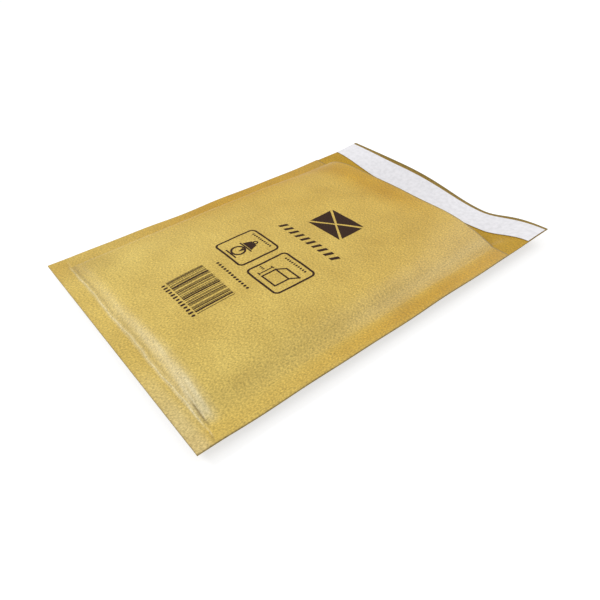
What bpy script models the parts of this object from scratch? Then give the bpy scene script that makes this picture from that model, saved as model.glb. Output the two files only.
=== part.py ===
"""Padded mailing envelope, lying empty on a table with its mouth open and its flap laid out.

X runs across the envelope, Y from the sealed bottom edge to the edge of the flap, and Z up.
The origin is on the table, under the middle of the envelope's outline. Sizes are in metres.

Two kraft sheets are sealed together along the bottom and both sides. Each is lined with
bubble film, whose air cells face the pocket. The back sheet runs on past the mouth as the
flap, which carries a strip of adhesive under a peel-off liner.
"""

import math

import bmesh
import bpy
from mathutils import Vector

# Outline of the two sheets
ENVELOPE_WIDTH = 0.160
FRONT_LENGTH = 0.1965
FLAP_LENGTH = 0.0385
SIDE_SEAM = 0.010
BOTTOM_SEAM = 0.009

# Thickness of the layers, and the clearance between two that touch
PAPER_THICKNESS = 0.0004
FILM_THICKNESS = 0.0004
ADHESIVE_THICKNESS = 0.0002
LINER_THICKNESS = 0.0002
LAYER_GAP = 0.0003

# How the sheets stand apart: the seams' height over the table and their rise to the flap
SEAM_HEIGHT = 0.0051
SEAM_RISE = 0.0028
FRONT_LEFT_FOOT = 0.007
FRONT_RIGHT_FOOT = 0.014
FRONT_BOTTOM_FOOT = 0.010
BACK_FOOT = 0.012
PAD_RISE = 0.0045
DOME_RISE = 0.0025
MOUTH_RISE = 0.0083
MOUTH_REACH = 0.075
MOUTH_LEFT_POWER = 8
MOUTH_RIGHT_POWER = 4

# Waves of the flap's edge, measured from the height of the seams
FLAP_LEFT_RISE = 0.0047
FLAP_RIGHT_RISE = 0.0032
FLAP_DIP = 0.0034
FLAP_DIP_PLACE = 0.037
FLAP_DIP_LEFT_SPREAD = 0.038
FLAP_DIP_RIGHT_SPREAD = 0.020
FLAP_LEFT_FOOT = 0.048
FLAP_RIGHT_FOOT = 0.030

# Bubble film
BUBBLE_PITCH = 0.013
BUBBLE_CROWN = 0.0075
BUBBLE_SHOULDER = 0.0021
BUBBLE_HEIGHT = 0.0028
BUBBLE_SEAM_INSET = 0.007
LINING_SEAM_INSET = 0.005
LINING_MOUTH_INSET = 0.001

# Closing strip on the flap
FLAP_LIP = 0.002
LINER_WIDTH = 0.0167
ADHESIVE_EDGE = 0.0012
ADHESIVE_END = 0.003

# Steps of the sheets' grids
LEFT_SLOPE_STEPS = 4
RIGHT_SLOPE_STEPS = 6
BOTTOM_SLOPE_STEPS = 4
BACK_SLOPE_STEPS = 2
ACROSS_STEPS = 5
ALONG_STEPS = 4
MOUTH_STEPS = 4
FLAP_STEPS = 3
CLOSING_STEPS = 2
LINING_SLOPE_STEPS = 2
NORMAL_STEP = 0.0002

KRAFT_BROWN = (0.60, 0.43, 0.14, 1.0)
FILM_GREY = (0.80, 0.82, 0.83, 1.0)
ADHESIVE_YELLOW = (0.78, 0.72, 0.55, 1.0)
LINER_WHITE = (0.78, 0.79, 0.80, 1.0)

BACK_LENGTH = FRONT_LENGTH + FLAP_LENGTH
HALF_WIDTH = ENVELOPE_WIDTH / 2
POCKET_HALF_WIDTH = HALF_WIDTH - SIDE_SEAM
SEAM_STACK = 2 * PAPER_THICKNESS + LAYER_GAP
LINING_OFFSET = PAPER_THICKNESS + LAYER_GAP


def remove_scene_objects():
    for item in list(bpy.data.objects):
        bpy.data.objects.remove(item, do_unlink=True)


def make_material(name, colour, roughness):
    material = bpy.data.materials.new(name)
    material.use_nodes = True
    shader = material.node_tree.nodes["Principled BSDF"]
    shader.inputs["Base Color"].default_value = colour
    shader.inputs["Roughness"].default_value = roughness
    shader.inputs["Metallic"].default_value = 0.0
    return material


def smooth_step(value):
    """Rise from 0 to 1 as the value does, level at both ends."""
    value = min(max(value, 0.0), 1.0)
    return value * value * (3 - 2 * value)


def rounded_rise(value):
    """Rise from 0 to 1 that starts steeply and levels out."""
    value = min(max(value, 0.0), 1.0)
    return value * (2 - value)


def spread(start, stop, steps):
    """Evenly spaced places from start to stop, both included."""
    return [start + (stop - start) * step / steps for step in range(steps + 1)]


def padded_share(across, along, side_foot, bottom_foot, rise):
    """0 in the seams and 1 inside them, with a given rise over the widths of the feet."""
    side = rise((POCKET_HALF_WIDTH - abs(across)) / side_foot)
    return side * rise((along - BOTTOM_SEAM) / bottom_foot)


def seam_height(along):
    """Underside of the side seams, which lift towards the flap."""
    return SEAM_HEIGHT + SEAM_RISE * (along / BACK_LENGTH) ** 2


def flap_edge_height(across):
    """Underside of the flap's edge: a bell-shaped dip, wider on its left than on its right."""
    rise = FLAP_LEFT_RISE
    width = FLAP_DIP_LEFT_SPREAD
    if across > FLAP_DIP_PLACE:
        rise = FLAP_RIGHT_RISE
        width = FLAP_DIP_RIGHT_SPREAD
    bell = math.exp(-((across - FLAP_DIP_PLACE) / width) ** 2)
    return SEAM_HEIGHT + rise - (rise + FLAP_DIP) * bell


def back_height(across, along):
    """Underside of the back sheet: flat on the table inside the seams, then the wavy flap."""
    on_flap = max(0.0, (along - FRONT_LENGTH) / FLAP_LENGTH)
    pocket = padded_share(across, along, BACK_FOOT, BACK_FOOT, smooth_step)
    flap_foot = FLAP_LEFT_FOOT if across < 0 else FLAP_RIGHT_FOOT
    sagging = smooth_step((HALF_WIDTH - abs(across)) / flap_foot)
    low_share = pocket + (sagging - pocket) * smooth_step(2 * on_flap)
    body = seam_height(along) * (1 - low_share)
    return body + (flap_edge_height(across) - body) * on_flap ** 2


def front_height(across, along):
    """Outer face of the front sheet: a padded dome that opens into the arch of the mouth."""
    reach = min(abs(across) / POCKET_HALF_WIDTH, 1.0)
    side_foot = FRONT_LEFT_FOOT if across < 0 else FRONT_RIGHT_FOOT
    share = padded_share(across, along, side_foot, FRONT_BOTTOM_FOOT, rounded_rise)
    body = share * (PAD_RISE + DOME_RISE * (1 - reach ** 2))
    arch = MOUTH_RISE * (1 - reach ** (MOUTH_LEFT_POWER if across < 0 else MOUTH_RIGHT_POWER))
    arch_share = smooth_step((along - FRONT_LENGTH + MOUTH_REACH) / MOUTH_REACH)
    return seam_height(along) + SEAM_STACK + body + (arch - body) * arch_share


def surface_normal(height, across, along):
    step = NORMAL_STEP
    slope_across = (height(across + step, along) - height(across - step, along)) / (2 * step)
    slope_along = (height(across, along + step) - height(across, along - step)) / (2 * step)
    return Vector((-slope_across, -slope_along, 1.0)).normalized()


def place_on(height, across, along, offset):
    """Point at a distance from a sheet's outer face, measured square to the sheet."""
    point = Vector((across, along - BACK_LENGTH / 2, height(across, along)))
    return point + surface_normal(height, across, along) * offset


def across_places():
    """Grid lines across the sheets: close together on the slopes beside the seams."""
    seam = [HALF_WIDTH - ADHESIVE_END, HALF_WIDTH]
    inner = POCKET_HALF_WIDTH - BACK_FOOT
    left = spread(0.0, inner, ACROSS_STEPS)
    left += spread(inner, POCKET_HALF_WIDTH - FRONT_LEFT_FOOT, BACK_SLOPE_STEPS)[1:]
    left += spread(POCKET_HALF_WIDTH - FRONT_LEFT_FOOT, POCKET_HALF_WIDTH, LEFT_SLOPE_STEPS)[1:]
    inner = POCKET_HALF_WIDTH - FRONT_RIGHT_FOOT
    right = spread(0.0, inner, ACROSS_STEPS)[1:]
    right += spread(inner, POCKET_HALF_WIDTH, RIGHT_SLOPE_STEPS)[1:]
    return [-place for place in reversed(left + seam)] + right + seam


def along_places():
    """Grid lines from the bottom edge to the mouth."""
    places = [0.0]
    places += spread(BOTTOM_SEAM, BOTTOM_SEAM + FRONT_BOTTOM_FOOT, BOTTOM_SLOPE_STEPS)
    places.append(BOTTOM_SEAM + BACK_FOOT)
    places += spread(BOTTOM_SEAM + BACK_FOOT, FRONT_LENGTH - MOUTH_REACH, ALONG_STEPS)[1:]
    places += spread(FRONT_LENGTH - MOUTH_REACH, FRONT_LENGTH, MOUTH_STEPS)[1:]
    return places


def adhesive_places():
    """Grid lines along the flap that the adhesive covers."""
    middle = BACK_LENGTH - FLAP_LIP - LINER_WIDTH / 2
    reach = LINER_WIDTH / 2 - ADHESIVE_EDGE
    return spread(middle - reach, middle + reach, CLOSING_STEPS)


def liner_places():
    """Grid lines along the flap that the peel-off liner covers."""
    stop = BACK_LENGTH - FLAP_LIP
    return [stop - LINER_WIDTH] + adhesive_places() + [stop]


def flap_places():
    """Grid lines from the mouth to the edge of the flap."""
    return spread(FRONT_LENGTH, liner_places()[0], FLAP_STEPS)[1:-1] + liner_places() + [BACK_LENGTH]


def add_object(name, mesh, material, collection, parent):
    piece = bpy.data.objects.new(name, mesh)
    piece.data.materials.append(material)
    piece.parent = parent
    collection.objects.link(piece)
    return piece


def make_sheet(name, height, places, offset, thickness, look, group):
    """A sheet that follows an outer face at an offset, thickened away from that face."""
    columns, rows = places
    bm = bmesh.new()
    bmesh.ops.create_grid(bm, x_segments=len(columns) - 1, y_segments=len(rows) - 1, size=0.5)
    for vert in bm.verts:
        column = round((vert.co.x + 0.5) * (len(columns) - 1))
        row = round((vert.co.y + 0.5) * (len(rows) - 1))
        vert.co = place_on(height, columns[column], rows[row], offset)
    mesh = bpy.data.meshes.new(name)
    bm.to_mesh(mesh)
    bm.free()
    mesh.shade_smooth()
    piece = add_object(name, mesh, look, *group)
    wall = piece.modifiers.new("Thickness", "SOLIDIFY")
    wall.thickness = thickness
    wall.offset = 1.0 if height is back_height else -1.0
    return piece


def add_flat_cell(bm, corners):
    bm.faces.new([bm.verts.new((x, y, 0.0)) for x, y in corners])


def add_cell_field(bm, columns, rows, first_row):
    """Honeycomb of flat cells in staggered rows, with half cells that square off its sides."""
    corner = BUBBLE_PITCH / math.sqrt(3)
    row_step = 1.5 * corner
    left = -columns * BUBBLE_PITCH / 2
    for row in range(rows):
        middle = first_row + row * row_step
        stagger = row % 2
        for column in range(columns - stagger):
            x = left + (column + 0.5 + 0.5 * stagger) * BUBBLE_PITCH
            cell = bmesh.ops.create_circle(bm, cap_ends=True, segments=6, radius=corner)
            bmesh.ops.translate(bm, verts=cell["verts"], vec=(x, middle, 0.0))
        if stagger:
            for side in (-1, 1):
                edge = side * -left
                inside = edge - side * BUBBLE_PITCH / 2
                half_cell = [(edge, middle - corner), (inside, middle - corner / 2)]
                half_cell += [(inside, middle + corner / 2), (edge, middle + corner)]
                add_flat_cell(bm, half_cell[::side])
    bmesh.ops.remove_doubles(bm, verts=bm.verts, dist=corner / 100)
    low = first_row - 0.75 * corner
    high = first_row + (rows - 1) * row_step + 0.75 * corner
    for vert in bm.verts:
        if vert.co.y < low + corner / 3:
            vert.co.y = low
        if vert.co.y > high - corner / 3:
            vert.co.y = high
    return [-left, low, high]


def add_margin(bm, old, new):
    """Widen the sheet's rim from one rectangle (half width, low, high) to a larger one."""
    rim = [edge for edge in bm.edges if edge.is_boundary]
    grown = bmesh.ops.extrude_edge_only(bm, edges=rim)["geom"]
    for vert in grown:
        if isinstance(vert, bmesh.types.BMVert):
            share = (vert.co.y - old[1]) / (old[2] - old[1])
            vert.co.x *= new[0] / old[0]
            vert.co.y = new[1] + (new[2] - new[1]) * share


def raise_bubbles(bm, cells):
    """Each cell rises to a shoulder and then to its crown."""
    inset = (BUBBLE_PITCH - BUBBLE_CROWN) / 2
    bmesh.ops.inset_individual(bm, faces=cells, thickness=inset, depth=BUBBLE_SHOULDER)
    bmesh.ops.poke(bm, faces=cells, offset=BUBBLE_HEIGHT - BUBBLE_SHOULDER, center_mode="MEAN")


def lining_rectangles():
    """The rim of the bubble film and the lines of its slopes, from the inside out."""
    high = FRONT_LENGTH - LINING_MOUTH_INSET
    rectangles = []
    for inset in spread(BUBBLE_SEAM_INSET, LINING_SEAM_INSET, LINING_SLOPE_STEPS):
        rectangles.append([POCKET_HALF_WIDTH - inset, BOTTOM_SEAM + inset, high])
    return rectangles


def make_lining(name, height, look, group):
    """Bubble film on a sheet's inner face: a flat film with rows of air cells on it."""
    rectangles = lining_rectangles()
    half, low, high = rectangles[0]
    corner = BUBBLE_PITCH / math.sqrt(3)
    columns = int(2 * half / BUBBLE_PITCH)
    rows = int((high - low) / (1.5 * corner))
    rows -= 1 - rows % 2
    spare = high - low - rows * 1.5 * corner
    bm = bmesh.new()
    field = add_cell_field(bm, columns, rows, low + spare / 2 + 0.75 * corner)
    inner = [half, low, high - LINING_MOUTH_INSET]
    for new in [inner] + rectangles[1:]:
        add_margin(bm, field, new)
        field = new
    base = bmesh.ops.duplicate(bm, geom=bm.verts[:] + bm.edges[:] + bm.faces[:])["geom"]
    base_faces = {face for face in base if isinstance(face, bmesh.types.BMFace)}
    base_verts = {vert for vert in base if isinstance(vert, bmesh.types.BMVert)}
    for vert in bm.verts:
        if vert not in base_verts:
            vert.co.z = FILM_THICKNESS
    bmesh.ops.reverse_faces(bm, faces=list(base_faces))
    bmesh.ops.bridge_loops(bm, edges=[edge for edge in bm.edges if edge.is_boundary])
    cells = [face for face in bm.faces if len(face.verts) == 6 and face not in base_faces]
    raise_bubbles(bm, cells)
    bmesh.ops.recalc_face_normals(bm, faces=bm.faces)
    side = 1 if height is back_height else -1
    for vert in bm.verts:
        vert.co = place_on(height, vert.co.x, vert.co.y, side * (LINING_OFFSET + vert.co.z))
    if side < 0:
        bmesh.ops.reverse_faces(bm, faces=bm.faces)
    mesh = bpy.data.meshes.new(name)
    bm.to_mesh(mesh)
    bm.free()
    mesh.set_sharp_from_angle(angle=math.radians(50))
    return add_object(name, mesh, look, *group)


def make_envelope():
    remove_scene_objects()
    collection = bpy.data.collections.new("padded_envelope")
    bpy.context.scene.collection.children.link(collection)
    carrier = bpy.data.objects.new("envelope_origin", None)
    collection.objects.link(carrier)
    group = (collection, carrier)

    kraft = make_material("kraft_paper", KRAFT_BROWN, 0.55)
    film = make_material("bubble_film", FILM_GREY, 0.2)
    adhesive = make_material("hot_melt_adhesive", ADHESIVE_YELLOW, 0.35)
    liner = make_material("release_liner", LINER_WHITE, 0.45)

    columns = across_places()
    front_places = (columns, along_places())
    back_places = (columns, along_places() + flap_places())
    make_sheet("back_panel", back_height, back_places, 0.0, PAPER_THICKNESS, kraft, group)
    make_sheet("front_panel", front_height, front_places, 0.0, PAPER_THICKNESS, kraft, group)
    make_lining("back_bubble_lining", back_height, film, group)
    make_lining("front_bubble_lining", front_height, film, group)

    strip_places = (columns[1:-1], adhesive_places())
    cover_places = (columns, liner_places())
    strip_offset = PAPER_THICKNESS + LAYER_GAP
    cover_offset = strip_offset + ADHESIVE_THICKNESS + LAYER_GAP
    make_sheet("adhesive_strip", back_height, strip_places, strip_offset,
               ADHESIVE_THICKNESS, adhesive, group)
    make_sheet("release_liner", back_height, cover_places, cover_offset,
               LINER_THICKNESS, liner, group)


make_envelope()
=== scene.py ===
"""Looks of the padded envelope: kraft sheets, bubble film, closing strip and generic print.

Places on a sheet are given as across, the distance to the right of its middle line, and
along, the distance from the envelope's sealed bottom edge. All sizes are in metres.
"""

import math

import bpy
import numpy as np
from bpy.props import FloatProperty, FloatVectorProperty, PointerProperty
from mathutils import Matrix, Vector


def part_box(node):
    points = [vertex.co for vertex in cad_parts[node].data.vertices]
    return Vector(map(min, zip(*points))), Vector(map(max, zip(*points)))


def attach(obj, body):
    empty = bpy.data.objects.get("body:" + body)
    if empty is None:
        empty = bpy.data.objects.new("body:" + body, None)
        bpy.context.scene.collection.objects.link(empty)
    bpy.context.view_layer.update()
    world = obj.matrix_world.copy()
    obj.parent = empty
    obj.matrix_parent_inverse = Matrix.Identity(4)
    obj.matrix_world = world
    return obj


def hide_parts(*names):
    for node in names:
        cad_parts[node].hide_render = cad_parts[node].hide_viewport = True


bl_info = {
    "name": "Padded Envelope",
    "version": (1, 0, 0),
    "blender": (4, 5, 0),
    "location": "3D View > Sidebar > Envelope",
    "description": "Builds a padded kraft envelope with bubble film, closing strip and print",
    "category": "Add Mesh",
}

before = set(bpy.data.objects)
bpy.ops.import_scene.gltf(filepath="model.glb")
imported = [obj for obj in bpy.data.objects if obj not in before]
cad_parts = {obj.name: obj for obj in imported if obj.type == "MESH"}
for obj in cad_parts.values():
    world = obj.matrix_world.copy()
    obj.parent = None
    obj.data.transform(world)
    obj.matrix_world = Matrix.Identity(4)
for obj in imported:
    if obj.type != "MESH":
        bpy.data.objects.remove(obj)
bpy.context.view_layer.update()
BACK_LOW, BACK_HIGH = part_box("back_panel")
FRONT_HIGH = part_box("front_panel")[1]
BODY = "root"

# The outline, as the solids have it
HALF_WIDTH = (BACK_HIGH.x - BACK_LOW.x) / 2
BACK_LENGTH = BACK_HIGH.y - BACK_LOW.y
FRONT_LENGTH = FRONT_HIGH.y - BACK_LOW.y

# Grids: distance between two points of a surface, and the darker strip along a cut edge
SHEET_STEP = 0.0011
CREASE_STEP = 0.00025
FILM_STEP = 0.00088
PRINT_STEP = 0.0012
SLOPE_REACH = 0.00005
CUT_STRIP = 0.0004

# Layers: the film's gap to the paper and to the mouth's edge, and for each strip its inset
# from the sides and the offsets of its faces from the paper
FILM_GAP = 0.0002
MOUTH_GAP = 0.001
ADHESIVE_INSET = 0.003
ADHESIVE_MARGIN = 0.0012
ADHESIVE_OFFSETS = (0.00025, 0.00005)
LINER_INSET = 0.0003
LINER_OFFSETS = (0.00045, 0.00030)

# Print lies this far over the paper and is this thick
INK_LIFT = 0.00001
INK_THICKNESS = 0.00003

# Frames and captions of the two framed symbols
FRAME_RADIUS = 0.0032
FRAME_LINE = 0.0012
CAPTION_REACH = 0.0088
CAPTION_DASHES = 10
CAPTION_HEIGHT = 0.0016

# Waves of the flap's edge, measured from the height of the seams
FLAP_LEFT_RISE = 0.0047
FLAP_RIGHT_RISE = 0.0032
FLAP_DIP = 0.0034
FLAP_DIP_PLACE = 0.037
FLAP_DIP_LEFT_SPREAD = 0.038
FLAP_DIP_RIGHT_SPREAD = 0.020
FLAP_LEFT_FOOT = 0.048
FLAP_RIGHT_FOOT = 0.030

# The pressed lower end of the padding, and the softer start of its slope on the right
PRESSED_SHARE = 0.68
PRESSED_START = 0.012
PRESSED_REACH = 0.055
RIGHT_EASE = 0.011

# How squarely the mouth's arch ends on the left and on the right
LEFT_ARCH_POWER = 8
RIGHT_ARCH_POWER = 4

# Fine relief of the paper, each kind by its height
CREASE_HEIGHT = 0.00056
CREASE_WIDTH = 0.0006
CELL_HEIGHT = 0.000022
RIPPLE_REACH = 0.016
RIPPLE_FADE = 0.02

# Grooves at the padding's lower corners: start, stop, width and depth
CORNER_FOLDS = (
    ((0.0460, 0.0128), (0.0725, 0.0104), 0.0007, 0.00045),
    ((0.0690, 0.0165), (0.0715, 0.0085), 0.0009, 0.00040),
    ((0.0700, 0.0045), (0.0745, 0.0098), 0.0005, 0.00016),
    ((0.0745, 0.0035), (0.0765, 0.0095), 0.0005, 0.00014),
    ((-0.0450, 0.0140), (-0.0710, 0.0095), 0.0012, 0.00050),
    ((-0.0655, 0.0400), (-0.0710, 0.0105), 0.0013, 0.00035),
)

# Painted shade as dark lines in the crease's right-end wrinkles: start, stop, width and shade
DARK_WRINKLES = (
    ((0.0540, 0.0112), (0.0735, 0.0106), 0.0005, 0.75),
    ((0.0745, 0.0090), (0.0800, 0.0084), 0.0004, 0.60),
)

# Warm tones, painted shade where the paper turns from the light, over its own patches: the bands at
# the sides below and what they gain upwards, the bands at the mouth and the bottom, the gain along
# the front, and the patches' middle and swing
LEFT_WARMTH = (0.30, 0.52)
RIGHT_WARMTH = (0.22, 0.34)
MOUTH_WARMTH = 0.60
BOTTOM_WARMTH = 0.10
RISING_WARMTH = 0.47
PATCH_WARMTH = (0.04, 0.06)

# Dark tones: the cut rims, and painted shade on the flap's inside, the left fold and slope, the
# crease's inner side on the right and what it gains on the left, its outer side, the lower left
# corner and the mouth
RIM_SHADE = 0.55
FLAP_SHADE = 0.18
LEFT_FOLD_SHADE = 0.16
LEFT_SLOPE_SHADE = 0.09
CREASE_SHADE = (0.14, 0.22)
CREASE_OUTER_SHADE = 0.12
CORNER_SHADE = 0.16
MOUTH_SHADE = 0.16

# Painted sheen, paler paper where the light catches it: the bottom slope on the left and what it
# gains on the right, the seam's corner, the right shoulder and the crease's top
SLOPE_SHEEN = (0.42, 0.58)
CORNER_SHEEN = 0.34
SHOULDER_SHEEN = 0.15
CREASE_SHEEN = 0.50

# Width of the darker strip, painted shade, along each sheet's far edge
BACK_LIP = 0.0045
FRONT_LIP = 0.0010

# Stage: the floor's side, tone and own light, the world's light, and for each lamp its
# name, place, target, side and power
FLOOR_SIDE = 6.0
FLOOR_TONE = 0.48
FLOOR_GLOW = 0.64
WORLD_STRENGTH = 0.665
LAMPS = (
    ("left_lamp", (-0.43, -0.42, 0.54), (0.0, -0.05, 0.0), 0.26, 2.62),
    ("far_lamp", (0.02, 0.62, 0.62), (0.0, 0.0, 0.0), 0.50, 2.1),
)

# Camera, as it was fitted to the photograph
CAMERA_PLACE = (0.19925, -0.16059, 0.17723)
CAMERA_AZIMUTH = 51.745
CAMERA_ELEVATION = 39.183
CAMERA_ROLL = -1.534
CAMERA_FOCAL = 540.22
IMAGE_SIDE = 600
SENSOR_WIDTH = 36.0
CLIP_START = 0.01


# Sizes that shape the sheets and the film: what each is, its default and its least value
SIZES = {
    "side_seam": ("Width of the sealed side seams", 0.010, 0.002),
    "bottom_seam": ("Width of the sealed band along the bottom", 0.009, 0.002),
    "seam_height": ("Underside of the seams over the table", 0.0051, 0.001),
    "seam_rise": ("Lift of the seams from the bottom edge to the flap", 0.0028, 0.0),
    "front_left_foot": ("Width of the front's slope on the left", 0.007, 0.002),
    "front_right_foot": ("Width of the front's slope on the right", 0.018, 0.002),
    "front_bottom_foot": ("Width of the front's slope at the bottom", 0.010, 0.002),
    "back_foot": ("Width of the slope inside the back's seams", 0.012, 0.002),
    "pad_rise": ("Height of the padding at the top of the slopes", 0.0045, 0.0),
    "dome_rise": ("Further rise of the front to its middle line", 0.0025, 0.0),
    "mouth_rise": ("Height of the mouth's arch over the seams", 0.0083, 0.0),
    "mouth_reach": ("Length over which the dome opens into the arch", 0.075, 0.01),
    "paper": ("Thickness of a kraft sheet with its bonded film", 0.00045, 0.0001),
    "film": ("Thickness of the bubble film between its air cells", 0.0004, 0.0001),
    "bubble_inset": ("Distance from the seams to the first air cells", 0.007, 0.001),
    "film_inset": ("Distance from the seams to the film's rim", 0.005, 0.001),
    "bubble_pitch": ("Distance between neighbouring air cells", 0.013, 0.005),
    "bubble_width": ("Diameter of an air cell", 0.0114, 0.003),
    "bubble_height": ("Height of an air cell over its film", 0.0028, 0.0),
    "liner_width": ("Width of the peel-off liner", 0.0167, 0.004),
    "flap_lip": ("Bare paper between the liner and the flap's edge", 0.0027, 0.0005),
}

# Base colours, as linear values: what each is for, and its default
COLOURS = {
    "kraft_pale": ("Paper in the middle of the front", (0.620, 0.450, 0.095)),
    # Also painted as shade where the paper turns from the light
    "kraft_warm": ("Paper at the seams and the mouth", (0.535, 0.300, 0.010)),
    # Also paints shade in creases and wrinkles, inside the flap and at the mouth
    "kraft_cut": ("Paper along its cut edges", (0.240, 0.160, 0.036)),
    # Painted sheen: the paper's colour where its slopes catch the light
    "kraft_rubbed": ("Paper where it is stretched and rubbed pale", (0.710, 0.630, 0.385)),
    "ink": ("Dark brown print", (0.030, 0.012, 0.008)),
    "film": ("Bubble film", (0.80, 0.82, 0.82)),
    "liner": ("Peel-off liner", (0.81, 0.80, 0.83)),
    "adhesive": ("Hot-melt strip", (0.72, 0.62, 0.36)),
}


def label(name):
    return name.replace("_", " ").title()


class EnvelopeSizes(bpy.types.PropertyGroup):
    """Sizes that shape the sheets and the film"""

    __annotations__ = {
        name: FloatProperty(name=label(name), description=text, default=default, min=least,
                            unit="LENGTH", subtype="DISTANCE")
        for name, (text, default, least) in SIZES.items()}


class EnvelopeColours(bpy.types.PropertyGroup):
    """Base colours, as linear values"""

    __annotations__ = {
        name: FloatVectorProperty(name=label(name), description=text, default=default,
                                  min=0.0, max=1.0, subtype="COLOR")
        for name, (text, default) in COLOURS.items()}


def sizes():
    """The sizes that the scene holds."""
    return bpy.context.scene.envelope_sizes


def bell(value, middle, width):
    """1 at the middle, falling off on both sides to 1/e at the width."""
    return np.exp(-((value - middle) / width) ** 2)


def smooth_step(value):
    """3v^2 - 2v^3, with v held between 0 and 1."""
    value = np.clip(value, 0.0, 1.0)
    return value * value * (3 - 2 * value)


def rounded_rise(value):
    """v(2 - v), with v held between 0 and 1: a steep start that levels out."""
    value = np.clip(value, 0.0, 1.0)
    return value * (2 - value)


def padded_share(across, along, side_foot, bottom_foot, rise):
    """The rise of the distance inside the side seams times that inside the bottom seam."""
    size = sizes()
    side = rise((HALF_WIDTH - size.side_seam - np.abs(across)) / side_foot)
    return side * rise((along - size.bottom_seam) / bottom_foot)


def seam_height(along):
    """Seam height plus the seam's rise times the square of the share of the length."""
    size = sizes()
    return size.seam_height + size.seam_rise * (along / BACK_LENGTH) ** 2


def flap_edge_height(across):
    """A level edge less a bell curve, which is wider on the left of the dip than on its right."""
    size = sizes()
    right = across > FLAP_DIP_PLACE
    rise = np.where(right, FLAP_RIGHT_RISE, FLAP_LEFT_RISE)
    width = np.where(right, FLAP_DIP_RIGHT_SPREAD, FLAP_DIP_LEFT_SPREAD)
    return size.seam_height + rise - (rise + FLAP_DIP) * bell(across, FLAP_DIP_PLACE, width)


def seam_ripple(across, along):
    """Slow sine waves along the seams, which fade out where the padding starts."""
    waves = 0.00016 * np.sin(along / 0.0073 + 0.8 * np.sign(across))
    waves += 0.00022 * np.sin(along / 0.0121 + 2.1 * np.sign(across))
    edge = smooth_step((np.abs(across) - HALF_WIDTH + RIPPLE_REACH) / RIPPLE_REACH)
    ends = smooth_step(along / RIPPLE_FADE) * smooth_step((BACK_LENGTH - along) / RIPPLE_FADE)
    return waves * edge * ends


def back_height(across, along):
    """Underside of the back sheet: flat on the table inside the seams, then the wavy flap."""
    size = sizes()
    on_flap = np.maximum(0.0, (along - FRONT_LENGTH) / (BACK_LENGTH - FRONT_LENGTH))
    pocket = padded_share(across, along, size.back_foot, size.back_foot, smooth_step)
    flap_foot = np.where(across < 0, FLAP_LEFT_FOOT, FLAP_RIGHT_FOOT)
    sagging = smooth_step((HALF_WIDTH - np.abs(across)) / flap_foot)
    low_share = pocket + (sagging - pocket) * smooth_step(2 * on_flap)
    body = seam_height(along) * (1 - low_share)
    body = body + (flap_edge_height(across) - body) * on_flap ** 2
    return body + seam_ripple(across, along) * (1 - low_share)


def crease_place(across):
    """The crease's distance from the bottom edge: the seam's width and two small sines."""
    wander = 0.00024 * np.sin(across / 0.0075 + 0.7) + 0.00010 * np.sin(across / 0.0021)
    return sizes().bottom_seam + 0.0001 + wander


def crease_ridge(across, along):
    """A sharp low ridge along the inner edge of the bottom seam, sunk to a groove at its ends."""
    size = sizes()
    reach = np.abs(across) / (HALF_WIDTH - size.side_seam)
    height = CREASE_HEIGHT * (1 - 1.5 * reach ** 6) * smooth_step((1.12 - reach) / 0.1)
    return height * bell(along, crease_place(across), CREASE_WIDTH)


def fold_line(across, along, start, stop, width, depth):
    """A groove along a straight line: a bell across it, and a sine arch from end to end."""
    run = np.subtract(stop, start)
    length = math.hypot(*run)
    share = ((across - start[0]) * run[0] + (along - start[1]) * run[1]) / length ** 2
    side = ((across - start[0]) * run[1] - (along - start[1]) * run[0]) / length
    arch = np.sin(math.pi * np.clip(share, 0.0, 1.0))
    return -depth * arch * bell(side, 0.0, width)


def corner_puckers(across, along):
    """Grooves that run into the two lower corners of the padding."""
    return sum(fold_line(across, along, *fold) for fold in CORNER_FOLDS)


def front_swell(across, along):
    """Slow waves of the padded front: sines with unlike lengths and directions."""
    waves = 0.00022 * np.sin(across / 0.0105 + 0.6) * np.sin(along / 0.0170 + 0.4)
    waves += 0.00016 * np.sin(across / 0.0068 + along / 0.0240)
    waves += 0.00012 * np.sin(along / 0.0082 - across / 0.0310 + 1.0)
    return waves


def bubble_print(across, along):
    """The air cells showing through the paper: three crossed cosines make a honeycomb."""
    wave = 2 * math.pi / sizes().bubble_pitch
    lean = along / math.sqrt(3)
    cells = np.cos(wave * (across + lean)) + np.cos(wave * (across - lean))
    cells += np.cos(wave * 2 * lean)
    return CELL_HEIGHT * cells


def low_end(along):
    """Share of the padding's height that is left at the pressed bottom, rising to 1 inwards."""
    rise = smooth_step((along - PRESSED_START) / PRESSED_REACH)
    return PRESSED_SHARE + (1 - PRESSED_SHARE) * rise


def front_height(across, along):
    """Outer face of the front sheet: a padded dome that opens into the arch of the mouth."""
    size = sizes()
    reach = np.minimum(np.abs(across) / (HALF_WIDTH - size.side_seam), 1.0)
    side_foot = np.where(across < 0, size.front_left_foot, size.front_right_foot)
    share = padded_share(across, along, side_foot, size.front_bottom_foot, rounded_rise)
    share *= 0.5 + 0.5 * smooth_step((HALF_WIDTH - size.side_seam - across) / RIGHT_EASE)
    body = share * (size.pad_rise + size.dome_rise * (1 - reach ** 2)) * low_end(along)
    arch_power = np.where(across < 0, LEFT_ARCH_POWER, RIGHT_ARCH_POWER)
    arch = size.mouth_rise * (1 - reach ** arch_power)
    arch_share = smooth_step((along - FRONT_LENGTH + size.mouth_reach) / size.mouth_reach)
    base = seam_height(along) + 2 * size.paper + body + (arch - body) * arch_share
    detail = (front_swell(across, along) + bubble_print(across, along)) * share
    detail += crease_ridge(across, along) + corner_puckers(across, along)
    return base + detail + seam_ripple(across, along) * (1 - share)


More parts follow.
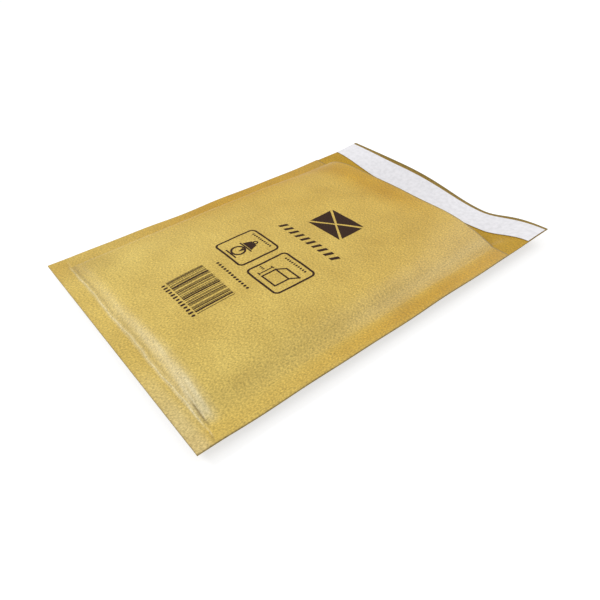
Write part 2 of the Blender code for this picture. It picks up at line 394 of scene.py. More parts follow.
def surface_normals(height, across, along):
    """Unit normals from central differences of the height."""
    step = SLOPE_REACH
    slope_across = (height(across + step, along) - height(across - step, along)) / (2 * step)
    slope_along = (height(across, along + step) - height(across, along - step)) / (2 * step)
    normals = np.stack([-slope_across, -slope_along, np.ones_like(slope_across)], axis=-1)
    return normals / np.linalg.norm(normals, axis=-1, keepdims=True)


def place_on(height, across, along, offset):
    """Points at a distance from a sheet's outer face, measured square to the sheet."""
    points = np.stack([across, along + BACK_LOW.y, height(across, along)], axis=-1)
    offset = np.broadcast_to(offset, across.shape)
    return points + surface_normals(height, across, along) * offset[..., None]


def quad_indices(index):
    """Four corners of each cell of a grid of point numbers, counter-clockwise from above."""
    corners = [index[:-1, :-1], index[:-1, 1:], index[1:, 1:], index[1:, :-1]]
    return np.stack(corners, axis=-1).reshape(-1, 4)


def shell_faces(rows, columns, closed):
    """Faces of a thin slab between an upper and a lower grid, with its rim."""
    index = np.arange(rows * columns).reshape(rows, columns)
    if closed:
        index = np.concatenate([index, index[:, :1]], axis=1)
        rims = [index[0], index[-1][::-1]]
    else:
        rims = [np.concatenate([index[0], index[1:, -1], index[-1, -2::-1], index[-2::-1, 0]])]
    upper = quad_indices(index)
    lower = upper[:, ::-1] + rows * columns
    sides = [np.stack([rim[:-1] + rows * columns, rim[1:] + rows * columns, rim[1:], rim[:-1]], 1)
             for rim in rims]
    return np.concatenate([upper, lower] + sides)


def shell(height, across, along, top, bottom, closed=False):
    """Vertices, sheet places and faces of a slab from offset top down to offset bottom."""
    upper = place_on(height, across, along, top).reshape(-1, 3)
    lower = place_on(height, across, along, bottom).reshape(-1, 3)
    places = np.stack([across, along], axis=-1).reshape(-1, 2)
    faces = shell_faces(*across.shape, closed)
    return np.concatenate([upper, lower]), np.concatenate([places, places]), faces


def add_object(name, data):
    """A new object in the scene."""
    thing = bpy.data.objects.new(name, data)
    bpy.context.scene.collection.objects.link(thing)
    return thing


def add_piece(name, shells, material, replaced=()):
    """One object from several slabs. Its UV map holds the places on the sheet."""
    count = 0
    vertices, places, faces = [], [], []
    for slab_vertices, slab_places, slab_faces in shells:
        vertices.append(slab_vertices)
        places.append(slab_places)
        faces.append(slab_faces + count)
        count += len(slab_vertices)
    vertices, places, faces = map(np.concatenate, (vertices, places, faces))
    mesh = bpy.data.meshes.new(name)
    mesh.vertices.add(len(vertices))
    mesh.vertices.foreach_set("co", vertices.astype(np.float32).ravel())
    mesh.loops.add(faces.size)
    mesh.loops.foreach_set("vertex_index", faces.ravel().astype(np.int32))
    mesh.polygons.add(len(faces))
    mesh.polygons.foreach_set("loop_start", np.arange(0, faces.size, 4, dtype=np.int32))
    mesh.update(calc_edges=True)
    uv_map = mesh.uv_layers.new(name="Sheet")
    uv_map.data.foreach_set("uv", places[faces.ravel()].astype(np.float32).ravel())
    mesh.validate()
    mesh.shade_smooth()
    mesh.set_sharp_from_angle(angle=math.radians(50))
    mesh.materials.append(material)
    piece = add_object(name, mesh)
    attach(piece, BODY)
    if replaced:
        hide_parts(*replaced)
    return piece


def set_tone(piece, name, values):
    """Vertex attribute from 0 to 1, the same on a sheet's upper and lower face."""
    count = len(piece.data.vertices)
    attribute = piece.data.attributes.new(name, "FLOAT", "POINT")
    attribute.data.foreach_set("value", np.resize(values, count).astype(np.float32))


def even_grid(low_across, high_across, low_along, high_along, step):
    """Across and along places of an even grid over a rectangle."""
    columns = 2 + int((high_across - low_across) / step)
    rows = 2 + int((high_along - low_along) / step)
    across = np.linspace(low_across, high_across, columns)
    along = np.linspace(low_along, high_along, rows)
    return np.meshgrid(across, along)


def grid_lines(places, steps):
    """Grid lines through given places, evenly spaced between two places by about a step."""
    lines = [np.linspace(low, high, 1 + max(1, round((high - low) / step)))[:-1]
             for low, high, step in zip(places[:-1], places[1:], steps)]
    return np.append(np.concatenate(lines), places[-1])


def sheet_grid(length):
    """Grid over a whole sheet, closer along its cut edges and round the bottom crease."""
    size = sizes()
    side = HALF_WIDTH - CUT_STRIP
    slopes = HALF_WIDTH - size.side_seam - size.front_left_foot
    crease = size.bottom_seam
    fine, coarse = 0.8 * SHEET_STEP, SHEET_STEP
    across = grid_lines([-HALF_WIDTH, -side, -slopes, slopes, side, HALF_WIDTH],
                        [CUT_STRIP, fine, coarse, fine, CUT_STRIP])
    along = grid_lines(
        [0.0, CUT_STRIP, crease - 0.0020, crease + 0.0030, crease + 0.0120, length - 0.0024,
         length - CUT_STRIP, length],
        [CUT_STRIP, coarse, CREASE_STEP, 2 * CREASE_STEP, coarse, 2 * CREASE_STEP, CUT_STRIP])
    return np.meshgrid(across, along)


def gaining(tones, share):
    """The first tone plus a share of the second."""
    return tones[0] + tones[1] * share


def front_warm_shade(across, along):
    """Warm bands of painted shade beside the seams, the mouth and the bottom, over a slow
    patchiness.
    """
    size = sizes()
    edge = HALF_WIDTH - np.abs(across)
    upward = smooth_step((along - 0.03) / 0.08)
    left = gaining(LEFT_WARMTH, upward) * bell(edge, 0.006, 0.0135) * (across < 0)
    right = gaining(RIGHT_WARMTH, upward) * bell(edge, 0.004, 0.0060) * (across > 0)
    mouth = MOUTH_WARMTH * bell(along, FRONT_LENGTH - 0.007, 0.011)
    mouth *= smooth_step((0.045 - across) / 0.06)
    bottom = BOTTOM_WARMTH * smooth_step((size.bottom_seam + 0.002 - along) / 0.004)
    rising = RISING_WARMTH * smooth_step((along - 0.02) / 0.19)
    patches = gaining(PATCH_WARMTH, np.sin(across / 0.019 + 1.3) * np.sin(along / 0.027))
    return np.clip(left + right + mouth + bottom + rising + patches, 0.0, 1.0)


def cut_shade(across, along, length, lip):
    """Painted shade darkest on the far edge, fading over its lip; the other cut edges fade over a
    strip.
    """
    strip = 1.2 * CUT_STRIP
    rim = 1 - np.clip(np.minimum(HALF_WIDTH - np.abs(across), along) / strip, 0.0, 1.0)
    far = ((length - along) / lip) ** 2
    return np.maximum(RIM_SHADE * rim, 1 - np.clip(far, 0.0, 1.0))


def painted_shade(across, along):
    """Painted shade at the left seam, the crease, its wrinkles, one corner and the mouth."""
    size = sizes()
    edge = HALF_WIDTH - np.abs(across)
    left = LEFT_FOLD_SHADE * bell(edge, 0.0120, 0.0022) * smooth_step((along - 0.006) / 0.01)
    left = (left + LEFT_SLOPE_SHADE * bell(edge, 0.008, 0.0180)) * (across < 0)
    reach = smooth_step((HALF_WIDTH - size.side_seam + 0.001 - np.abs(across)) / 0.004)
    crease = gaining(CREASE_SHADE, smooth_step((-across - 0.005) / 0.04)) * reach
    crease *= bell(along, crease_place(across) + 0.0014, 0.0008)
    crease += CREASE_OUTER_SHADE * bell(along, crease_place(across) - 0.0008, 0.0003) * reach
    corner = CORNER_SHADE * bell(across, -0.062, 0.012) * bell(along, 0.018, 0.014)
    wrinkles = -sum(fold_line(across, along, *wrinkle) for wrinkle in DARK_WRINKLES)
    mouth = MOUTH_SHADE * bell(across, -0.072, 0.024) * bell(along, FRONT_LENGTH, 0.012)
    return np.clip(left + crease + corner + wrinkles + mouth, 0.0, 1.0)


def sheen_paint_share(across, along):
    """Painted sheen: the streaky bottom slope, its corner, the right shoulder and the crease."""
    size = sizes()
    middle = 0.0124 + 0.0026 * smooth_step((across + 0.01) / 0.04)
    middle -= 0.0020 * smooth_step((across - 0.03) / 0.03)
    run = smooth_step((across + 0.055) / 0.085) * smooth_step((0.0735 - across) / 0.010)
    streaks = 0.80 + 0.20 * np.sin(along / 0.00052 + across / 0.0071) * np.sin(across / 0.0113)
    patches = 0.88 + 0.12 * np.sin(across / 0.0040 + 2.0) * np.sin(along / 0.0021)
    slope = gaining(SLOPE_SHEEN, smooth_step((across - 0.03) / 0.03)) * bell(along, middle, 0.0032)
    corner = CORNER_SHEEN * smooth_step((across - 0.015) / 0.05)
    corner *= smooth_step((0.0098 - along) / 0.006)
    edge = HALF_WIDTH - across
    shoulder = SHOULDER_SHEEN * smooth_step((along - 0.07) / 0.05) * bell(edge, 0.0150, 0.0040)
    slope = slope * run * streaks * patches
    ridge = CREASE_SHEEN * bell(along, crease_place(across), 0.0004)
    ridge *= smooth_step((HALF_WIDTH - size.side_seam + 0.004 - np.abs(across)) / 0.008)
    return np.clip(slope + corner + shoulder + ridge, 0.0, 1.0)


def flap_warm_shade(across, along):
    """Painted shade: the inside of the flap is warm from the mouth to the liner."""
    return 0.3 + 0.6 * smooth_step((along - FRONT_LENGTH + 0.01) / 0.01)


def add_node(tree, kind, inputs=None, **settings):
    """A node with its settings. Each input, by name or number, is a value or a socket to link."""
    node = tree.nodes.new(kind)
    for name, value in settings.items():
        setattr(node, name, value)
    for name, value in (inputs or {}).items():
        if isinstance(value, bpy.types.NodeSocket):
            tree.links.new(value, node.inputs[name])
        else:
            node.inputs[name].default_value = value
    return node


def fibre_group():
    """Paper fibre: grain, fibres drawn out along the sheet, and slow cloudiness."""
    if "paper_fibre" in bpy.data.node_groups:
        return bpy.data.node_groups["paper_fibre"]
    tree = bpy.data.node_groups.new("paper_fibre", "ShaderNodeTree")
    tree.interface.new_socket(name="Place", in_out="INPUT", socket_type="NodeSocketVector")
    for direction, names in (("INPUT", ("Grain", "Cloud")),
                             ("OUTPUT", ("Tone", "Cloudiness", "Height"))):
        for name in names:
            tree.interface.new_socket(name=name, in_out=direction, socket_type="NodeSocketFloat")
    start = add_node(tree, "NodeGroupInput")
    place, scale = start.outputs["Place"], start.outputs["Grain"]
    drawn = add_node(tree, "ShaderNodeVectorMath", {0: place, 1: (1.6, 0.8, 1.0)},
                     operation="MULTIPLY")
    grain = add_node(tree, "ShaderNodeTexNoise",
                     {"Vector": place, "Scale": scale, "Detail": 2.0, "Roughness": 0.6})
    fibres = add_node(tree, "ShaderNodeTexNoise",
                      {"Vector": drawn.outputs["Vector"], "Scale": scale,
                       "Detail": 1.0, "Roughness": 0.5})
    cloud = add_node(tree, "ShaderNodeTexNoise",
                     {"Vector": place, "Scale": start.outputs["Cloud"],
                      "Detail": 3.0, "Roughness": 0.55})
    both = add_node(tree, "ShaderNodeMath", {0: grain.outputs["Fac"], 1: fibres.outputs["Fac"]},
                    operation="ADD")
    half = add_node(tree, "ShaderNodeMath", {0: both.outputs["Value"], 1: 0.5},
                    operation="MULTIPLY")
    add_node(tree, "NodeGroupOutput",
             {"Tone": half.outputs["Value"], "Cloudiness": cloud.outputs["Fac"],
              "Height": fibres.outputs["Fac"]})
    return tree


def start_material(name, roughness, specular=0.5):
    """A material with its tree and its Principled shader."""
    material = bpy.data.materials.new(name)
    material.use_nodes = True
    tree = material.node_tree
    shader = tree.nodes["Principled BSDF"]
    shader.inputs["Roughness"].default_value = roughness
    shader.inputs["Specular IOR Level"].default_value = specular
    return material, tree, shader


def add_fibre(tree, grain, cloud):
    """The fibre group, read along the sheet through the UV map."""
    place = add_node(tree, "ShaderNodeUVMap", uv_map="Sheet")
    inputs = {"Place": place.outputs["UV"], "Grain": grain, "Cloud": cloud}
    return add_node(tree, "ShaderNodeGroup", inputs, node_tree=fibre_group())


def add_ramp(tree, source, low, high, stops):
    """Colour ramp between two values of a source."""
    node = add_node(tree, "ShaderNodeValToRGB", {"Fac": source})
    for element, stop, colour in zip(node.color_ramp.elements, stops, (low, high)):
        element.position = stop
        element.color = (*colour, 1.0)
    return node.outputs["Color"]


def add_mix(tree, factor, first, second, blend="MIX"):
    """Mix of two colours; each may be a socket or a plain colour."""
    inputs = {0: factor}
    for number, colour in ((6, first), (7, second)):
        linked = isinstance(colour, bpy.types.NodeSocket)
        inputs[number] = colour if linked else (*colour, 1.0)
    return add_node(tree, "ShaderNodeMix", inputs, data_type="RGBA", blend_type=blend).outputs[2]


def add_bump(tree, source, shader, distance, strength):
    """Relief of a source's height."""
    bump = add_node(tree, "ShaderNodeBump",
                    {"Height": source, "Distance": distance, "Strength": strength})
    tree.links.new(bump.outputs["Normal"], shader.inputs["Normal"])


def kraft_material(name, specular):
    """Golden kraft with grain and cloudiness, warm patches, dark cut rims, painted shade and
    painted sheen.
    """
    colours = bpy.context.scene.envelope_colours
    material, tree, shader = start_material(name, 0.46, specular)
    fibre = add_fibre(tree, 1050.0, 45.0)
    colour = colours.kraft_pale
    for name, tone in (("warm_tone_shade", colours.kraft_warm), ("painted_sheen", colours.kraft_rubbed),
                       ("edge_and_shade", colours.kraft_cut)):
        share = add_node(tree, "ShaderNodeAttribute", attribute_name=name)
        colour = add_mix(tree, share.outputs["Fac"], colour, tone)
    for name, low, high in (("Tone", (0.56, 0.56, 0.53), (1.36, 1.36, 1.42)),
                            ("Cloudiness", (0.91, 0.89, 0.80), (1.07, 1.09, 1.15))):
        mottle = add_ramp(tree, fibre.outputs[name], low, high, (0.3, 0.7))
        colour = add_mix(tree, 1.0, colour, mottle, "MULTIPLY")
    tree.links.new(colour, shader.inputs["Base Color"])
    add_bump(tree, fibre.outputs["Height"], shader, 0.00008, 0.35)
    return material


def ink_material():
    """Dark brown ink, thinner where the fibres stand up."""
    colours = bpy.context.scene.envelope_colours
    material, tree, shader = start_material("printing_ink", 0.6, 0.1)
    fibre = add_fibre(tree, 2200.0, 120.0)
    worn = tuple(0.90 * ink + 0.10 * kraft for ink, kraft in zip(colours.ink, colours.kraft_pale))
    tone = add_ramp(tree, fibre.outputs["Tone"], colours.ink, worn, (0.5, 0.72))
    tree.links.new(tone, shader.inputs["Base Color"])
    add_bump(tree, fibre.outputs["Height"], shader, 0.00008, 0.5)
    return material


def cloudy_material(name, colour, roughness, scales, low_share, stops, bump, alpha=1.0):
    """A material that darkens to a share of its colour, and dents, with the fibre's cloudiness."""
    material, tree, shader = start_material(name, roughness)
    fibre = add_fibre(tree, *scales)
    low = tuple(low_share * value for value in colour)
    tone = add_ramp(tree, fibre.outputs["Cloudiness"], low, colour, stops)
    tree.links.new(tone, shader.inputs["Base Color"])
    add_bump(tree, fibre.outputs["Cloudiness"], shader, *bump)
    shader.inputs["Alpha"].default_value = alpha
    return material


def liner_material():
    """White release paper with a faint mottle."""
    colours = bpy.context.scene.envelope_colours
    return cloudy_material("silky_liner", colours.liner, 0.42, (900.0, 380.0), 0.89,
                           (0.35, 0.62), (0.00025, 0.35))


def adhesive_material():
    """Tacky hot-melt with small swirls."""
    colours = bpy.context.scene.envelope_colours
    return cloudy_material("tacky_adhesive", colours.adhesive, 0.22, (500.0, 300.0), 0.85,
                           (0.35, 0.65), (0.0003, 0.6))


def film_material():
    """Clear film that greys what lies behind it."""
    colours = bpy.context.scene.envelope_colours
    return cloudy_material("clear_film", colours.film, 0.12, (400.0, 160.0), 0.88,
                           (0.3, 0.7), (0.0002, 0.4), alpha=0.45)


def nearest_cell(across, along, first_row, rows, columns, row_step):
    """Distance to the middle of the nearest air cell, over the three nearest rows."""
    pitch = sizes().bubble_pitch
    nearest = np.full(across.shape, np.inf)
    row_guess = np.round((along - first_row) / row_step)
    for shift in (-1, 0, 1):
        row = np.clip(row_guess + shift, 0, rows - 1)
        stagger = row % 2
        left = -columns * pitch / 2 + (0.5 + 0.5 * stagger) * pitch
        column = np.clip(np.round((across - left) / pitch), 0, columns - 1 - stagger)
        gap = np.hypot(across - left - column * pitch, along - first_row - row * row_step)
        nearest = np.minimum(nearest, gap)
    return nearest


def film_piece(name, height, node, material):
    """Bubble film: a flat film, and domes of height H (1 - (r/R)^2.6)^0.6 around the cells."""
    size = sizes()
    low = size.bottom_seam + size.bubble_inset
    high = FRONT_LENGTH - MOUTH_GAP
    half = HALF_WIDTH - size.side_seam - size.bubble_inset
    row_step = 1.5 * size.bubble_pitch / math.sqrt(3)
    columns = int(2 * half / size.bubble_pitch)
    rows = int((high - low) / row_step)
    rows -= 1 - rows % 2
    first_row = low + (high - low - rows * row_step) / 2 + row_step / 2
    margin = size.bubble_inset - size.film_inset
    across, along = even_grid(-half - margin, half + margin, low - margin, high, FILM_STEP)
    gap = nearest_cell(across, along, first_row, rows, columns, row_step)
    share = gap / (size.bubble_width / 2)
    dome = np.clip(1 - share ** 2.6, 0.0, 1.0) ** 0.6
    face = size.paper + FILM_GAP
    top = face + size.film + size.bubble_height * dome
    if height is back_height:
        slab = shell(height, across, along, top, face)
    else:
        slab = shell(height, across, along, -face, -top)
    add_piece(name, [slab], material, [node])


def kraft_piece(name, height, length, warm_tone_shade, lip, node, material):
    """A kraft sheet from the bottom edge to a given length, with its tones, painted shade and
    sheen.
    """
    size = sizes()
    across, along = sheet_grid(length)
    offsets = (size.paper, 0.0) if height is back_height else (0.0, -size.paper)
    slab = shell(height, across, along, *offsets)
    piece = add_piece(name, [slab], material, [node])
    set_tone(piece, "warm_tone_shade", warm_tone_shade(across, along))
    shade = cut_shade(across, along, length, lip)
    if height is front_height:
        shade = np.maximum(shade, painted_shade(across, along))
        set_tone(piece, "painted_sheen", sheen_paint_share(across, along))
    else:
        # Painted shade on the flap's inside
        inside = smooth_step((along - FRONT_LENGTH + 0.02) / 0.01)
        shade = np.maximum(shade, FLAP_SHADE * inside)
    set_tone(piece, "edge_and_shade", shade)


def strip_piece(name, start, stop, inset, offsets, material, node):
    """A strip across the flap's inner face, with its upper and lower offset from the paper."""
    size = sizes()
    across, along = even_grid(inset - HALF_WIDTH, HALF_WIDTH - inset, start, stop, SHEET_STEP)
    slab = shell(back_height, across, along, *(size.paper + offset for offset in offsets))
    add_piece(name, [slab], material, [node])


def ink_slab(across, along, closed=False):
    """A printed mark: a thin slab on the front sheet's outer face."""
    top = INK_LIFT + INK_THICKNESS
    return shell(front_height, across, along, top, INK_LIFT, closed)


def stroke(path, width):
    """A line of even width through given points: sides at half its width from each run."""
    slabs = []
    for start, stop in zip(path[:-1], path[1:]):
        run = np.subtract(stop, start)
        length = math.hypot(*run)
        count = 2 + int(length / PRINT_STEP)
        share = np.linspace(-width / 2 / length, 1 + width / 2 / length, count)
        side = np.array([run[1], -run[0]]) / length * width / 2
        across = start[0] + run[0] * share + np.array([[side[0]], [-side[0]]])
        along = start[1] + run[1] * share + np.array([[side[1]], [-side[1]]])
        slabs.append(ink_slab(across, along))
    return slabs


def rounded_loop(middle, width, length, radius, samples=12):
    """Points round a rectangle with quarter-circle corners, counter-clockwise, with normals."""
    turn = np.linspace(0, math.pi / 2, samples)
    points, normals = [], []
    corners = ((1, 1, 0), (-1, 1, 1), (-1, -1, 2), (1, -1, 3))
    for side_across, side_along, quarter in corners:
        angle = turn + quarter * math.pi / 2
        outward = np.stack([np.cos(angle), np.sin(angle)], axis=-1)
        corner = np.array([side_across * (width / 2 - radius), side_along * (length / 2 - radius)])
        points.append(np.array(middle) + corner + radius * outward)
        normals.append(outward)
    points, normals = np.concatenate(points), np.concatenate(normals)
    ahead, normal_ahead = np.roll(points, -1, axis=0), np.roll(normals, -1, axis=0)
    gaps = np.hypot(*(ahead - points).T)
    counts = 1 + (gaps / PRINT_STEP).astype(int)
    dense, dense_normals = [], []
    runs = zip(points, ahead, normals, normal_ahead, counts)
    for point, after, normal, normal_after, count in runs:
        share = np.arange(count)[:, None] / count
        dense.append(point + (after - point) * share)
        dense_normals.append(normal + (normal_after - normal) * share)
    return np.concatenate(dense), np.concatenate(dense_normals)


def loop_line(middle, width, length, radius, line):
    """A closed line of even width round a rounded rectangle or, with full radius, a circle."""
    outer, normals = rounded_loop(middle, width, length, radius)
    inner = outer - normals * line
    across = np.stack([outer[:, 0], inner[:, 0]])
    along = np.stack([outer[:, 1], inner[:, 1]])
    return [ink_slab(across, along, closed=True)]


def field(middle, length, half_widths):
    """A filled shape from its lower to its upper edge, with half_widths(v) for v from -1 to 1."""
    rows = 3 + int(length / PRINT_STEP)
    level = -np.cos(np.linspace(0, math.pi, rows))
    left, right = half_widths(level)
    columns = 3 + int(np.max(right - left) / PRINT_STEP)
    share = np.linspace(0, 1, columns)
    across = middle[0] + left[:, None] + (right - left)[:, None] * share
    along = middle[1] + level[:, None] * length / 2 + 0 * share
    return [ink_slab(across, along)]


def rounded_field(middle, width, length, radius):
    """A filled rounded rectangle."""
    def half_widths(level):
        into_corner = np.maximum(0.0, np.abs(level) * length / 2 - (length / 2 - radius))
        half = width / 2 - radius + np.sqrt(np.maximum(radius ** 2 - into_corner ** 2, 0.0))
        return -half, half
    return field(middle, length, half_widths)


def slanted_field(middle, low_width, high_width, length, lean=0.0):
    """A filled trapezoid, or a parallelogram where it leans."""
    def half_widths(level):
        half = (low_width + (high_width - low_width) * (level + 1) / 2) / 2
        return lean * level - half, lean * level + half
    return field(middle, length, half_widths)


def bar_symbol():
    """Upright bars with widths that follow remainders, and a row of ticks under them."""
    left, right, low, high = -0.0150, 0.0172, 0.0392, 0.0608
    module, spread = 0.00034, 0.00003
    tick_count, tick_place, tick_width, tick_length = 13, 0.0372, 0.0013, 0.0022
    slabs = []
    place, number = left, 0
    while place < right - 2 * module:
        width = module * (1 + (number * 7 % 5 == 2) + 2 * (number % 11 == 6))
        gap = module * (1 + (number * 5 % 3 == 1) + 2 * (number % 5 == 3))
        inked = width + spread
        slabs += slanted_field((place + width / 2, (low + high) / 2), inked, inked, high - low)
        place += width + gap
        number += 1
    for tick in range(tick_count):
        middle = (left + (tick + 0.5) * (right - left) / tick_count, tick_place)
        slabs += rounded_field(middle, tick_width, tick_length + 0.0003 * (tick % 3), 0.0005)
    return slabs


def dashes(span, place, count, height):
    """A row of short rounded dashes between two places across the sheet."""
    pitch = (span[1] - span[0]) / count
    slabs = []
    for number in range(count):
        middle = (span[0] + (number + 0.5) * pitch, place)
        slabs += rounded_field(middle, 0.68 * pitch, height, 0.4 * height)
    return slabs


def framed_caption(across, along, width, length, rise):
    """A rounded frame round a place, and a row of dashes under its upper edge."""
    slabs = loop_line((across, along), width, length, FRAME_RADIUS, FRAME_LINE)
    span = (across - CAPTION_REACH, across + CAPTION_REACH)
    return slabs + dashes(span, along + rise, CAPTION_DASHES, CAPTION_HEIGHT)


def weighing_symbol():
    """A framed weight with its ring, on the pan of a dial scale with a pointer and a foot."""
    across, along = -0.0134, 0.0885
    slabs = framed_caption(across, along, 0.0262, 0.0270, 0.0100)
    slabs += loop_line((across, along + 0.0058), 0.0032, 0.0032, 0.0016, 0.0009)
    slabs += slanted_field((across, along + 0.0024), 0.0088, 0.0050, 0.0048)
    slabs += slanted_field((across, along - 0.0008), 0.0112, 0.0112, 0.0009)
    slabs += loop_line((across, along - 0.0057), 0.0088, 0.0088, 0.0044, FRAME_LINE)
    slabs += field((across + 0.0008, along - 0.0044), 0.0034, triangle_widths(0.0026))
    slabs += slanted_field((across, along - 0.0105), 0.0096, 0.0096, 0.0009)
    return slabs


def envelope_symbol():
    """A framed open envelope, with a measuring line and a few dashes beside it."""
    across, along = 0.0173, 0.0882
    left, right = across - 0.0040, across + 0.0070
    low, high = along - 0.0090, along - 0.0002
    outline, thin = 0.0010, 0.0007
    ruler, tick = left - 0.0026, 0.0010
    slabs = framed_caption(across, along, 0.0270, 0.0266, 0.0098)
    slabs += stroke([(left, low), (right, low), (right, high), (left, high), (left, low)], outline)
    slabs += stroke([(left, high), (left + 0.0034, high + 0.0046), (right + 0.0030, high + 0.0046),
                     (right, high)], outline)
    slabs += stroke([(ruler, low), (ruler, high)], thin)
    for end in (low, high):
        slabs += stroke([(ruler - tick, end), (ruler + tick, end)], thin)
    slabs += dashes((left - 0.0078, left - 0.0040), (low + high) / 2, 3, 0.0015)
    return slabs


def triangle_widths(width, side=0):
    """Edges of a triangle: 0 points down, 1 points right and -1 points left."""
    def edges(level):
        if side == 0:
            half = width * (level + 1) / 4
            return -half, half
        reach = side * width * (1 - np.abs(level))
        return np.minimum(reach, 0.0), np.maximum(reach, 0.0)
    return edges


def mail_symbol():
    """A filled closed envelope seen from its flap side: four triangles with gaps between."""
    across, along, width, length = 0.0022, 0.1400, 0.0272, 0.0172
    gap, tip = 0.0009, 0.0006
    slabs = field((across, along + length / 4 + gap), length / 2, triangle_widths(width))
    for side in (1, -1):
        place = (across - side * width / 2, along)
        slabs += field(place, length - 2 * gap, triangle_widths(width / 2 - gap, side))
    slabs += slanted_field((across, along - length / 4 - gap), width, tip, length / 2)
    return slabs


def slanted_border():
    """A row of leaning bars, as on an air-mail border, and a thin dashed line further down."""
    count, left, right, place = 10, -0.0200, 0.0290, 0.1172
    width, length, lean = 0.0022, 0.0052, 0.0009
    pitch = (right - left) / count
    slabs = []
    for number in range(count):
        middle = (left + (number + 0.5) * pitch, place)
        slabs += slanted_field(middle, width, width, length, lean)
    slabs += dashes((-0.0118, 0.0176), 0.0680, 13, 0.0020)
    return slabs


def seen_directly(tree, kinds):
    """1 for rays of the given kinds and 0 for all others."""
    rays = add_node(tree, "ShaderNodeLightPath")
    seen = rays.outputs[kinds[0]]
    for kind in kinds[1:]:
        either = add_node(tree, "ShaderNodeMath", {0: seen, 1: rays.outputs[kind]},
                          operation="ADD", use_clamp=True)
        seen = either.outputs["Value"]
    return seen


def add_floor():
    """Pale floor that glows a little to the camera, in reflections and through the film."""
    mesh = bpy.data.meshes.new("pale_floor")
    reach = FLOOR_SIDE / 2
    corners = [(x * reach, y * reach, 0.0) for x, y in ((-1, -1), (1, -1), (1, 1), (-1, 1))]
    mesh.from_pydata(corners, [], [(0, 1, 2, 3)])
    material = bpy.data.materials.new("pale_floor")
    material.use_nodes = True
    tree = material.node_tree
    tree.nodes.clear()
    tone = (FLOOR_TONE, FLOOR_TONE, FLOOR_TONE, 1.0)
    matte = add_node(tree, "ShaderNodeBsdfDiffuse", {"Color": tone})
    seen = seen_directly(tree, ("Is Camera Ray", "Is Glossy Ray", "Is Transmission Ray"))
    dim = add_node(tree, "ShaderNodeMath", {0: seen, 1: FLOOR_GLOW}, operation="MULTIPLY")
    glow = add_node(tree, "ShaderNodeEmission",
                    {"Color": (1.0, 1.0, 1.0, 1.0), "Strength": dim.outputs["Value"]})
    both = add_node(tree, "ShaderNodeAddShader",
                    {0: matte.outputs["BSDF"], 1: glow.outputs["Emission"]})
    add_node(tree, "ShaderNodeOutputMaterial", {"Surface": both.outputs["Shader"]})
    mesh.materials.append(material)
    floor = add_object("pale_floor", mesh)


def add_world():
    """Even pale light, and plain white where the camera or a transmitted ray sees the world."""
    world = bpy.data.worlds.new("studio")
    bpy.context.scene.world = world
    world.use_nodes = True
    tree = world.node_tree
    background = tree.nodes["Background"]
    background.inputs["Color"].default_value = (1.0, 1.0, 1.0, 1.0)
    seen = seen_directly(tree, ("Is Camera Ray", "Is Transmission Ray"))
    lift = add_node(tree, "ShaderNodeMath",
                    {0: seen, 1: 1.0 - WORLD_STRENGTH, 2: WORLD_STRENGTH},
                    operation="MULTIPLY_ADD")
    tree.links.new(lift.outputs["Value"], background.inputs["Strength"])


def add_lamp(name, place, target, side, power):
    """A square area lamp that faces a target."""
    light = bpy.data.lights.new(name, "AREA")
    light.shape = "SQUARE"
    light.size = side
    light.energy = power
    lamp = add_object(name, light)
    away = np.subtract(place, target)
    away = away / np.linalg.norm(away)
    right = np.cross((0.0, 1.0, 0.0), away)
    right = right / np.linalg.norm(right)
    lamp.matrix_world = placed_matrix(right, np.cross(away, right), away, place)


def placed_matrix(right, up, away, place):
    """World matrix from three unit axes and a place."""
    matrix = Matrix.Identity(4)
    for column, axis in enumerate((right, up, away, place)):
        for row in range(3):
            matrix[row][column] = axis[row]
    return matrix


def add_camera():
    """Camera from its place, azimuth, elevation, roll and focal length in pixels."""
    azimuth, elevation, roll = np.radians([CAMERA_AZIMUTH, CAMERA_ELEVATION, CAMERA_ROLL])
    level = math.cos(elevation)
    ahead = np.array([-math.sin(azimuth) * level, math.cos(azimuth) * level, -math.sin(elevation)])
    right = np.cross(ahead, (0.0, 0.0, 1.0))
    right = right / np.linalg.norm(right)
    up = np.cross(right, ahead)
    rolled_right = math.cos(roll) * right + math.sin(roll) * up
    rolled_up = math.cos(roll) * up - math.sin(roll) * right
    lens = bpy.data.cameras.new("camera")
    lens.sensor_fit = "HORIZONTAL"
    lens.sensor_width = SENSOR_WIDTH
    lens.lens = CAMERA_FOCAL / IMAGE_SIDE * SENSOR_WIDTH
    lens.clip_start = CLIP_START
    camera = add_object("camera", lens)
    camera.matrix_world = placed_matrix(rolled_right, rolled_up, -ahead, CAMERA_PLACE)
    bpy.context.scene.camera = camera


class ENVELOPE_OT_kraft_sheets(bpy.types.Operator):
    """Add the front sheet and the back sheet with its flap"""

    bl_idname = "envelope.kraft_sheets"
    bl_label = "Kraft Sheets"

    def execute(self, context):
        kraft_piece("kraft_back", back_height, BACK_LENGTH, flap_warm_shade, BACK_LIP,
                    "back_panel", kraft_material("dull_kraft", 0.15))
        kraft_piece("kraft_front", front_height, FRONT_LENGTH, front_warm_shade, FRONT_LIP,
                    "front_panel", kraft_material("mottled_kraft", 0.50))
        return {"FINISHED"}


class ENVELOPE_OT_bubble_film(bpy.types.Operator):
    """Line both sheets with bubble film"""

    bl_idname = "envelope.bubble_film"
    bl_label = "Bubble Film"

    def execute(self, context):
        film = film_material()
        film_piece("bubble_film_back", back_height, "back_bubble_lining", film)
        film_piece("bubble_film_front", front_height, "front_bubble_lining", film)
        return {"FINISHED"}


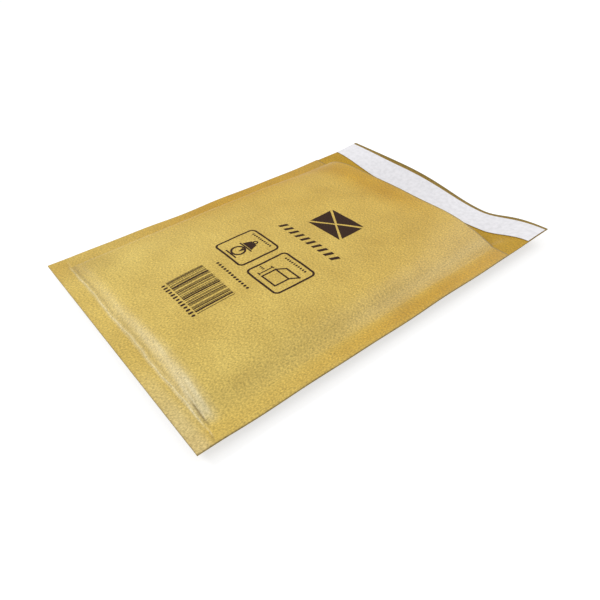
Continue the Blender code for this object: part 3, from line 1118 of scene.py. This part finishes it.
class ENVELOPE_OT_closing_strip(bpy.types.Operator):
    """Add the adhesive and the peel-off liner on the flap"""

    bl_idname = "envelope.closing_strip"
    bl_label = "Closing Strip"

    def execute(self, context):
        size = context.scene.envelope_sizes
        stop = BACK_LENGTH - size.flap_lip
        start = stop - size.liner_width
        strip_piece("adhesive_layer", start + ADHESIVE_MARGIN, stop - ADHESIVE_MARGIN,
                    ADHESIVE_INSET, ADHESIVE_OFFSETS, adhesive_material(),
                    "adhesive_strip")
        strip_piece("peel_off_liner", start, stop, LINER_INSET, LINER_OFFSETS,
                    liner_material(), "release_liner")
        return {"FINISHED"}


class ENVELOPE_OT_print(bpy.types.Operator):
    """Print plain generic marks on the front"""

    bl_idname = "envelope.print"
    bl_label = "Print"

    def execute(self, context):
        ink = ink_material()
        add_piece("printed_bars", bar_symbol(), ink)
        add_piece("printed_weighing_symbol", weighing_symbol(), ink)
        add_piece("printed_envelope_symbol", envelope_symbol(), ink)
        add_piece("printed_mail_symbol", mail_symbol(), ink)
        add_piece("printed_border", slanted_border(), ink)
        return {"FINISHED"}


class ENVELOPE_OT_stage(bpy.types.Operator):
    """Add the floor, the lamps, the world and the camera"""

    bl_idname = "envelope.stage"
    bl_label = "Stage"

    def execute(self, context):
        context.scene.view_settings.view_transform = "Standard"
        add_floor()
        add_world()
        for lamp in LAMPS:
            add_lamp(*lamp)
        add_camera()
        return {"FINISHED"}


class ENVELOPE_PT_sidebar(bpy.types.Panel):
    """Lists the pieces and the sizes"""

    bl_idname = "ENVELOPE_PT_sidebar"
    bl_label = "Padded Envelope"
    bl_space_type = "VIEW_3D"
    bl_region_type = "UI"
    bl_category = "Envelope"

    def draw(self, context):
        for operator in OPERATORS:
            self.layout.operator(operator.bl_idname)
        for group in (context.scene.envelope_sizes, context.scene.envelope_colours):
            box = self.layout.box()
            for name in group.__annotations__:
                box.prop(group, name)


OPERATORS = (
    ENVELOPE_OT_kraft_sheets,
    ENVELOPE_OT_bubble_film,
    ENVELOPE_OT_closing_strip,
    ENVELOPE_OT_print,
    ENVELOPE_OT_stage,
)
CLASSES = (EnvelopeSizes, EnvelopeColours, *OPERATORS, ENVELOPE_PT_sidebar)


def register():
    for cls in CLASSES:
        bpy.utils.register_class(cls)
    bpy.types.Scene.envelope_sizes = PointerProperty(type=EnvelopeSizes)
    bpy.types.Scene.envelope_colours = PointerProperty(type=EnvelopeColours)


def unregister():
    del bpy.types.Scene.envelope_colours
    del bpy.types.Scene.envelope_sizes
    for cls in reversed(CLASSES):
        bpy.utils.unregister_class(cls)


def main():
    register()
    bpy.ops.envelope.kraft_sheets()
    bpy.ops.envelope.bubble_film()
    bpy.ops.envelope.closing_strip()
    bpy.ops.envelope.print()
    bpy.ops.envelope.stage()


if __name__ == "__main__":
    main()
